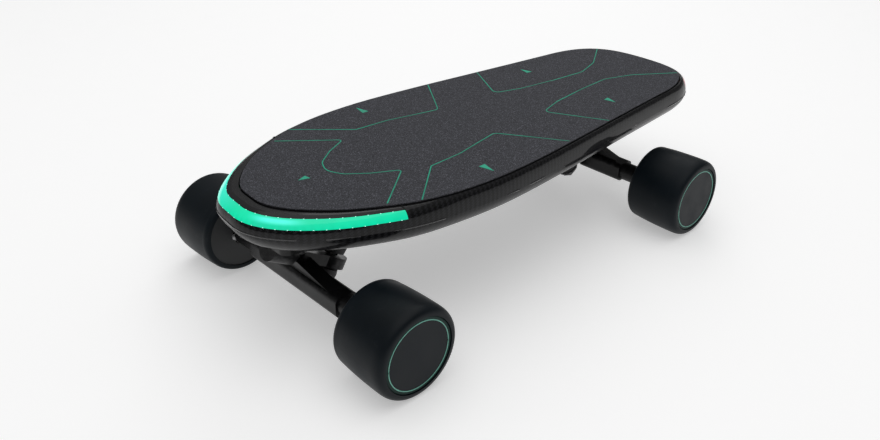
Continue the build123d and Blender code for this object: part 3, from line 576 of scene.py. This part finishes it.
def repeat_tree():
    """Puts one small bead at each point of a path, turned along it."""
    build, given, out = new_shape_tree(
        "Beads", [("Pitch", "NodeSocketFloat"), ("Length", "NodeSocketFloat"), ("Radius", "NodeSocketFloat"),
                  ("Material", "NodeSocketMaterial")])
    path = build.node("GeometryNodeMeshToCurve")
    build.join(given["Geometry"], path.inputs["Mesh"])
    points = build.node("GeometryNodeCurveToPoints", mode="LENGTH")
    build.join(path.outputs[0], points.inputs["Curve"])
    build.join(given["Pitch"], points.inputs["Length"])
    bead = build.node("GeometryNodeMeshIcoSphere")
    bead.inputs["Subdivisions"].default_value = 2
    bead.inputs["Radius"].default_value = 0.5
    size = build.node("ShaderNodeCombineXYZ")
    build.join(given["Radius"], size.inputs["X"])
    build.join(given["Radius"], size.inputs["Y"])
    build.join(given["Length"], size.inputs["Z"])
    spread = build.node("GeometryNodeInstanceOnPoints")
    build.join(points.outputs["Points"], spread.inputs["Points"])
    build.join(bead.outputs["Mesh"], spread.inputs["Instance"])
    build.join(points.outputs["Rotation"], spread.inputs["Rotation"])
    build.join(size.outputs[0], spread.inputs["Scale"])
    close_tree(build, spread.outputs[0], given["Material"], out)
    return build.tree


def run_tree(name, mesh, tree, values):
    """Run a geometry tree on a mesh of paths and return the result as a plain mesh object."""
    obj = link(name, mesh)
    modifier = obj.modifiers.new("Shape", "NODES")
    modifier.node_group = tree
    for item in tree.interface.items_tree:
        if item.in_out == "INPUT" and item.name in values:
            modifier[item.identifier] = values[item.name]
    obj.update_tag()
    bpy.context.view_layer.update()
    seen = obj.evaluated_get(bpy.context.evaluated_depsgraph_get())
    made = bpy.data.meshes.new_from_object(seen)
    obj.modifiers.clear()
    obj.data = made
    if not made.polygons:
        raise RuntimeError(name + " came out empty")
    shape = bmesh.new()
    shape.from_mesh(made)
    bmesh.ops.recalc_face_normals(shape, faces=shape.faces)
    shape.to_mesh(made)
    shape.free()
    return obj


def path_mesh(name, paths, closed=False):
    """A mesh of edges only. Each path is a list of ((x, y, z), corner radius)."""
    points, edges, corners = [], [], []
    for path in paths:
        first = len(points)
        for place, corner in path:
            points.append(place)
            corners.append(corner)
        edges += [(i, i + 1) for i in range(first, len(points) - 1)]
        if closed:
            edges.append((len(points) - 1, first))
    mesh = bpy.data.meshes.new(name)
    mesh.from_pydata(points, edges, [])
    kept = mesh.attributes.new("corner", "FLOAT", "POINT")
    kept.data.foreach_set("value", corners)
    return mesh


def rim_path(node, height, steps=240, near=0.12 * MM):
    """Outermost points of a node at one height, in order round the board, as (x, y, z)."""
    centre = (GRIP_LOW + GRIP_HIGH) / 2
    found = {}
    for vertex in NODES[node].data.vertices:
        place = vertex.co
        if abs(place.z - height) > near:
            continue
        turn = math.atan2(place.y, place.x - centre.x)
        key = round(turn * steps / (2 * math.pi))
        reach = math.hypot(place.x - centre.x, place.y)
        if key not in found or reach > found[key][0]:
            found[key] = (reach, turn, (place.x, place.y, height))
    return [point for _, _, point in sorted(found.values(), key=lambda item: item[1])]


def seam_path(side):
    """Points down the outer face of the nose frame's end, from the grip sheet to the lens, on one side."""
    low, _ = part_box("nose_frame")
    ends = [v.co for v in NODES["nose_frame"].data.vertices
            if v.co.x - low.x < 0.02 * MM and v.co.y * side > 0]
    inner = min(abs(place.y) for place in ends)
    base = min(place.z for place in ends)
    kept = {}
    for place in ends:
        turn = math.atan2(place.z - base, abs(place.y) - inner)
        reach = math.hypot(place.z - base, abs(place.y) - inner)
        key = round(turn / 0.1)
        if key not in kept or reach > kept[key][0]:
            kept[key] = (reach, turn, (place.x, place.y, place.z))
    return [point for _, _, point in sorted(kept.values(), key=lambda item: -item[1])]


# ---------------------------------------------------------------- printed pattern on the grip sheet

# Half of each line, left of the centreline: (along, across, corner radius) in millimetres,
# along from the middle of the board. The other half mirrors it.
NOSE_ARROW = ((183.5, 77.0, 0), (136.5, 40.0, 2.5), (160.0, 28.0, 22), (178.0, 14.5, 14), (185.0, 0.0, 14))
FRONT_WEDGE = ((161.5, 92.0, 0), (113.0, 50.5, 4), (77.0, 48.5, 18), (46.0, 42.0, 16), (22.5, 37.5, 6),
               (4.5, 63.5, 30), (-16.0, 94.0, 0))
REAR_WEDGE = ((-83.0, 89.0, 0), (-52.0, 33.0, 5.5), (-83.0, 24.0, 20), (-130.0, 18.0, 30), (-172.0, 15.0, 26),
              (-206.0, 26.0, 26), (-262.0, 62.0, 0))
# small solid darts: tip, then the two corners of its base
DARTS = (((212.5, 0.0), (202.5, 3.2), (203.5, -3.2)), ((80.0, 92.0), (76.5, 77.5), (83.5, 77.5)),
         ((-126.0, 64.0), (-130.0, 51.0), (-123.0, 51.5)))


def grip_edge():
    """Half width of the grip sheet at a place along the board, read from its own outline."""
    rim = sorted((v.co.x, v.co.y) for v in NODES["grip_sheet"].data.vertices if v.co.y > 0)

    def width(x):
        before = [p for p in rim if p[0] <= x]
        after = [p for p in rim if p[0] > x]
        if not before or not after:
            return 0.0
        (x0, y0), (x1, y1) = before[-1], after[0]
        share = (x - x0) / max(1e-9, x1 - x0)
        return y0 + (y1 - y0) * share
    return width


def trim_to_grip(path, width):
    """Cut the first and last run of a path where they reach the edge of the grip sheet."""
    def cut(inner, outer):
        low, high = 0.0, 1.0
        for _ in range(24):
            half = (low + high) / 2
            x = inner[0] + (outer[0] - inner[0]) * half
            y = inner[1] + (outer[1] - inner[1]) * half
            if abs(y) < width(x) - EDGE_MARGIN:
                low = half
            else:
                high = half
        return (inner[0] + (outer[0] - inner[0]) * low, inner[1] + (outer[1] - inner[1]) * low, 0.0)
    return [cut(path[1], path[0])] + list(path[1:-1]) + [cut(path[-2], path[-1])]


def pattern_paths(height):
    """All printed lines as paths at one height, in metres."""
    width = grip_edge()
    level = DECK_TOP + height / 2
    both = []
    for half in (FRONT_WEDGE, REAR_WEDGE):
        for side in (1, -1):
            both.append([(x * MM, side * y * MM, corner * MM) for x, y, corner in half])
    nose = [(x * MM, y * MM, corner * MM) for x, y, corner in NOSE_ARROW]
    both.append(nose + [(x, -y, corner) for x, y, corner in reversed(nose[:-1])])
    return [[((x, y, level), corner) for x, y, corner in trim_to_grip(path, width)] for path in both]


def dart_mesh(height):
    """Small solid darts printed on the grip sheet, one on the centreline and two mirrored pairs."""
    shape = bmesh.new()
    for tip, left, right in DARTS:
        for side in ((1,) if tip[1] == 0 else (1, -1)):
            corners = [(x * MM, side * y * MM) for x, y in (tip, left, right)]
            low = [shape.verts.new((x, y, DECK_TOP)) for x, y in corners]
            high = [shape.verts.new((x, y, DECK_TOP + height)) for x, y in corners]
            shape.faces.new(low)
            shape.faces.new(high)
            for i in range(3):
                shape.faces.new((low[i], low[i - 1], high[i - 1], high[i]))
    bmesh.ops.recalc_face_normals(shape, faces=shape.faces)
    mesh = bpy.data.meshes.new("dart_print")
    shape.to_mesh(mesh)
    shape.free()
    return mesh


# ---------------------------------------------------------------- operators

class SKATE_OT_shell(bpy.types.Operator):
    """Carbon shell and the gloss frames at the nose and the tail"""
    bl_idname = "skate.shell"
    bl_label = "Shell"

    def execute(self, context):
        finish = context.scene.skate_board
        paint(["lower_shell"], carbon_material(finish))
        paint(["nose_frame", "tail_frame"], coated(
            "frame_gloss", (0.007, 0.007, 0.008), rough=0.26, grain=1500.0, bump=0.02, vary=0.15, spread=0.04,
            specular_ior_level=0.16, coat_weight=0.25, coat_roughness=0.06))
        paint(["deck_plate"], coated("lid_moulding", (0.006, 0.006, 0.007), rough=0.5))
        edge = coated("crease_gloss", (0.010, 0.010, 0.011), rough=0.2, grain=1500.0, bump=0.02,
                      coat_weight=0.6)
        path = [(point, 0.0) for point in rim_path("lower_shell", CREASE_Z)]
        values = {"Width": finish.crease_size, "Height": finish.crease_size, "Material": edge}
        crease = path_mesh("crease", [path], closed=True)
        bead = run_tree("shell_crease_line", crease, printed_line_tree(), values)
        finish_piece(bead, edge, "deck")
        # painted shadow: a near-black bar down each end of the nose frame stands for the shade in the seam
        gap = coated("seam_shadow", (0.002, 0.002, 0.002), rough=0.8, grain=900.0, bump=0.1)
        paths = [[(point, 0.0) for point in seam_path(side)] for side in (1, -1)]
        values = {"Width": finish.seam_size, "Height": finish.seam_size, "Material": gap}
        seams = run_tree("nose_frame_seam_shadows", path_mesh("seams", paths), printed_line_tree(), values)
        finish_piece(seams, gap, "deck")
        return {"FINISHED"}


class SKATE_OT_grip(bpy.types.Operator):
    """Grit sheet with its printed lines and darts"""
    bl_idname = "skate.grip"
    bl_label = "Grip sheet"

    def execute(self, context):
        finish = context.scene.skate_board
        paint(["grip_sheet"], grit_material(finish))
        ink = coated("teal_ink", tuple(finish.line_colour), rough=0.6, grain=1100.0, bump=0.3, vary=0.2)
        values = {"Width": finish.line_width, "Height": finish.line_height, "Material": ink}
        paths = path_mesh("printed_lines", pattern_paths(finish.line_height))
        lines = run_tree("printed_lines", paths, printed_line_tree(), values)
        finish_piece(lines, ink, "deck")
        finish_piece(link("printed_darts", dart_mesh(finish.line_height)), ink, "deck")
        return {"FINISHED"}


class SKATE_OT_lights(bpy.types.Operator):
    """Lit lens at the nose and the red lens at the tail"""
    bl_idname = "skate.lights"
    bl_label = "Lights"

    def execute(self, context):
        light = context.scene.skate_light
        green, pale = tuple(light.nose_colour), tuple(light.nose_pale)
        paint(["front_light_lens"], lens_material(
            "nose_lens", green, pale, light.nose_power, "front_light_lens"))
        red = tuple(light.tail_colour)
        # the tail lens gets the same painted highlight and paler side, in a red 1.6 times lighter
        paint(["tail_light_lens"], lens_material(
            "tail_lens", red, tuple(min(1.0, c * 1.6) for c in red), 0.5, "tail_light_lens"))
        glow = self.glow("spot_glow", (0.45, 1.0, 0.86), light.spot_power)
        paths = [[(point, 0.0) for point in rim_path("front_light_lens", height)]
                 for height in (LENS_HIGH.z, LENS_LOW.z)]
        values = {"Pitch": light.spot_pitch, "Length": light.spot_size,
                  "Radius": light.spot_size * SPOT_ROUND, "Material": glow}
        spots = run_tree("nose_light_spots", path_mesh("spots", paths), repeat_tree(), values)
        finish_piece(spots, glow, "deck")
        paint(["front_leds"], coated("led_teal", (0.3, 0.8, 0.6), rough=0.3))
        paint(["tail_leds"], coated("led_red", (0.7, 0.08, 0.08), rough=0.3))
        return {"FINISHED"}

    def glow(self, name, colour, power):
        """Lit plastic, a little uneven."""
        material, tree, shader = start_material(name, roughness=0.3, emission_strength=power)
        cloud = use_group(tree, "grain", Grain=500.0, Cloud=90.0)["Cloud"]
        tree.join(tree.mix(cloud, scaled(colour, 0.8), colour), shader["Emission Color"])
        tree.join(tree.mix(cloud, scaled(colour, 0.4), colour), shader["Base Color"])
        return material


class SKATE_OT_wheels(bpy.types.Operator):
    """Tyres, caps with their thin rings, cores, hub motors and bearings"""
    bl_idname = "skate.wheels"
    bl_label = "Wheels"

    def execute(self, context):
        finish = context.scene.skate_wheel
        rubber = tyre_material(finish)
        line = coated("ring_paint", tuple(finish.ring_colour), rough=0.45, grain=1500.0, bump=0.02,
                      vary=0.08)
        tree = printed_line_tree()
        for end, side in WHEELS:
            wheel = end + "_" + side
            paint([wheel + "_tyre"], rubber)
            paint([wheel + "_cap"], cap_material(finish, wheel + "_cap_satin", wheel))
            ring = self.ring(wheel, 1 if side == "left" else -1, finish, tree, line)
            finish_piece(ring, line, wheel + "_wheel")
        paint(["front_left_core", "front_right_core"],
              coated("core_moulding", (0.014, 0.015, 0.016), rough=0.5, grain=700.0, bump=0.12))
        cans = ["rear_left_rotor_can", "rear_right_rotor_can"]
        paint(cans, coated("can_anodised", (0.015, 0.016, 0.018), rough=0.35, metal=0.6))
        steel = brushed("bearing_steel", (0.55, 0.55, 0.56), rough=0.25)
        paint([end + "_" + side + "_bearings" for end, side in WHEELS], steel)
        paint(["rear_left_magnets", "rear_right_magnets"], brushed("magnet_nickel", (0.5, 0.5, 0.5)))
        paint(["rear_left_stator", "rear_right_stator"],
              brushed("stator_laminations", (0.28, 0.28, 0.30), stretch=(60.0, 4000.0, 60.0)))
        paint(["rear_windings"],
              brushed("winding_copper", (0.62, 0.24, 0.10), stretch=(1200.0, 200.0, 1200.0)))
        return {"FINISHED"}

    def ring(self, wheel, side, finish, tree, line):
        """Thin painted ring, lying on the face of the cap."""
        low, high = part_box(wheel + "_cap")
        centre = (low + high) / 2
        face = (high.y if side > 0 else low.y) + side * RING_HEIGHT / 2
        path = []
        for i in range(RING_STEPS):
            turn = 2 * math.pi * i / RING_STEPS
            x = centre.x + finish.ring_radius * math.cos(turn)
            path.append(((x, face, centre.z + finish.ring_radius * math.sin(turn)), 0.0))
        values = {"Width": RING_HEIGHT, "Height": finish.ring_width, "Material": line}
        return run_tree(wheel + "_cap_ring", path_mesh(wheel + "_ring", [path], closed=True), tree, values)


class SKATE_OT_trucks(bpy.types.Operator):
    """Baseplates, hangers, bushings, axles and their fasteners"""
    bl_idname = "skate.trucks"
    bl_label = "Trucks"

    def execute(self, context):
        black = coated("truck_coat", (0.005, 0.005, 0.0055), rough=0.36, grain=1000.0, bump=0.08, wear=0.35,
                       worn=(0.06, 0.06, 0.062), vary=0.3, specular_ior_level=0.3)
        paint(["front_baseplate", "rear_baseplate", "front_hanger", "rear_hanger"], black)
        rubber = coated("soft_black", (0.011, 0.011, 0.012), rough=0.62, grain=600.0, bump=0.15)
        paint(["front_bushings", "rear_bushings", "front_pivot_cup", "rear_pivot_cup", "riser_pads",
               "charge_cover"], rubber)
        oxide = coated("black_oxide", (0.02, 0.02, 0.021), rough=0.34, metal=0.7, wear=0.5,
                       worn=(0.25, 0.25, 0.25))
        paint(["kingpins", "kingpin_nuts", "cup_washers", "truck_bolts", "lid_screws"], oxide)
        plated = brushed("axle_steel", (0.42, 0.42, 0.43), stretch=(900.0, 40.0, 900.0))
        paint(["front_axle", "rear_axle", "front_axle_nuts", "rear_axle_nuts"], plated)
        return {"FINISHED"}


class SKATE_OT_inside(bpy.types.Operator):
    """Battery, boards and the parts under the belly's openings"""
    bl_idname = "skate.inside"
    bl_label = "Inside"

    def execute(self, context):
        mask = coated("board_mask", (0.008, 0.07, 0.03), rough=0.35, grain=300.0, vary=0.4)
        paint(["front_light_board", "tail_light_board", "battery_board", "controller_board"], mask)
        paint(["battery_cells"], coated("cell_sleeve", (0.02, 0.10, 0.26), rough=0.3, grain=400.0))
        paint(["battery_holder"], coated("holder_moulding", (0.025, 0.025, 0.026), rough=0.55, bump=0.12))
        paint(["controller_heat_sink"], brushed("sink_aluminium", (0.6, 0.61, 0.62)))
        paint(["load_sensors"], brushed("sensor_steel", (0.5, 0.5, 0.5)))
        paint(["charge_socket", "power_button", "power_switch"],
              coated("button_moulding", (0.012, 0.012, 0.013), rough=0.42, grain=1200.0))
        return {"FINISHED"}


class SKATE_OT_stage(bpy.types.Operator):
    """Pale floor, soft studio light and the camera"""
    bl_idname = "skate.stage"
    bl_label = "Stage"

    def execute(self, context):
        stage = context.scene.skate_stage
        self.floor(stage)
        self.lights(stage)
        self.camera(stage)
        context.scene.view_settings.view_transform = "Standard"
        return {"FINISHED"}

    def floor(self, stage):
        mesh = bpy.data.meshes.new("floor")
        corners = [(x * FLOOR_HALF, y * FLOOR_HALF, 0) for x, y in ((-1, -1), (1, -1), (1, 1), (-1, 1))]
        mesh.from_pydata(corners, [], [(0, 1, 2, 3)])
        floor = link("floor", mesh)
        tone = stage.floor_tone
        paper = coated("floor_paper", (tone, tone, tone), rough=0.75, grain=40.0, bump=0.0, vary=0.0,
                       specular_ior_level=0.15, emission_color=(1, 1, 1), emission_strength=stage.floor_glow)
        self.clear_from_below(paper)
        mesh.materials.append(paper)

    def clear_from_below(self, material):
        """Let a view from below the floor see the belly."""
        tree = Tree(material.node_tree)
        output = material.node_tree.nodes["Material Output"]
        solid = output.inputs["Surface"].links[0].from_socket
        under = tree.node("ShaderNodeNewGeometry").outputs["Backfacing"]
        clear = tree.node("ShaderNodeBsdfTransparent")
        either = tree.node("ShaderNodeMixShader")
        tree.join(under, either.inputs[0])
        tree.join(solid, either.inputs[1])
        tree.join(clear.outputs[0], either.inputs[2])
        tree.join(either.outputs[0], output.inputs["Surface"])

    def lights(self, stage):
        lamps = (("key", (0.1, 0.1, 2.2), 2.6, stage.key_power),
                 ("back", (-1.6, -1.4, 1.7), 1.6, stage.key_power * 0.5))
        for name, place, size, power in lamps:
            data = bpy.data.lights.new(name, "AREA")
            data.shape = "SQUARE"
            data.size = size
            data.energy = power
            lamp = link(name, data)
            lamp.location = place
            lamp.rotation_mode = "QUATERNION"
            lamp.rotation_quaternion = Vector(place).to_track_quat("Z", "Y")
        world = bpy.data.worlds.new("studio")
        world.use_nodes = True
        tree = Tree(world.node_tree)
        height = tree.split(tree.node("ShaderNodeTexCoord").outputs["Generated"])["Z"]
        shade = tree.ramp(height, 0.0, 0.75, stage.world_side, stage.world_power)
        seen = tree.node("ShaderNodeLightPath").outputs["Is Camera Ray"]
        strength = tree.node("ShaderNodeMix", data_type="FLOAT")
        tree.join(seen, strength.inputs["Factor"])
        tree.join(shade, strength.inputs[2])
        strength.inputs[3].default_value = stage.backdrop
        ground = world.node_tree.nodes["Background"]
        ground.inputs["Color"].default_value = (1, 1, 1, 1)
        tree.join(strength.outputs[0], ground.inputs["Strength"])
        bpy.context.scene.world = world

    def camera(self, stage):
        turn, lift, roll = stage.azimuth, stage.elevation, stage.roll
        back = Vector((math.sin(turn) * math.cos(lift), -math.cos(turn) * math.cos(lift), math.sin(lift)))
        right = Vector((math.cos(turn), math.sin(turn), 0))
        up = back.cross(right)
        across = right * math.cos(roll) + up * math.sin(roll)
        above = up * math.cos(roll) - right * math.sin(roll)
        data = bpy.data.cameras.new("camera")
        data.lens = stage.lens
        data.sensor_width = SENSOR_WIDTH
        data.clip_start = 0.01
        camera = link("camera", data)
        facing = Matrix((across, above, back)).transposed().to_4x4()
        camera.matrix_world = Matrix.Translation(Vector(stage.place)) @ facing
        bpy.context.scene.camera = camera


class SKATE_PT_panel(bpy.types.Panel):
    """Sidebar panel that lists the settings and the steps"""
    bl_idname = "SKATE_PT_panel"
    bl_label = "Skateboard"
    bl_space_type = "VIEW_3D"
    bl_region_type = "UI"
    bl_category = "Skateboard"

    def draw(self, context):
        for key in ("skate_board", "skate_light", "skate_wheel", "skate_stage"):
            settings = getattr(context.scene, key)
            box = self.layout.box()
            for name in settings.__annotations__:
                box.prop(settings, name)
        for step in STEPS:
            self.layout.operator(step.bl_idname)


STEPS = (SKATE_OT_shell, SKATE_OT_grip, SKATE_OT_lights, SKATE_OT_wheels, SKATE_OT_trucks, SKATE_OT_inside,
         SKATE_OT_stage)
SETTINGS = {"skate_board": BoardFinish, "skate_light": LightFinish, "skate_wheel": WheelFinish,
            "skate_stage": StageSettings}
CLASSES = (*SETTINGS.values(), *STEPS, SKATE_PT_panel)


def register():
    for cls in CLASSES:
        bpy.utils.register_class(cls)
    for key, cls in SETTINGS.items():
        setattr(bpy.types.Scene, key, bpy.props.PointerProperty(type=cls))


def unregister():
    for key in SETTINGS:
        delattr(bpy.types.Scene, key)
    for cls in reversed(CLASSES):
        bpy.utils.unregister_class(cls)


def main():
    register()
    bpy.ops.skate.shell()
    bpy.ops.skate.grip()
    bpy.ops.skate.lights()
    bpy.ops.skate.wheels()
    bpy.ops.skate.trucks()
    bpy.ops.skate.inside()
    bpy.ops.skate.stage()


if __name__ == "__main__":
    main()
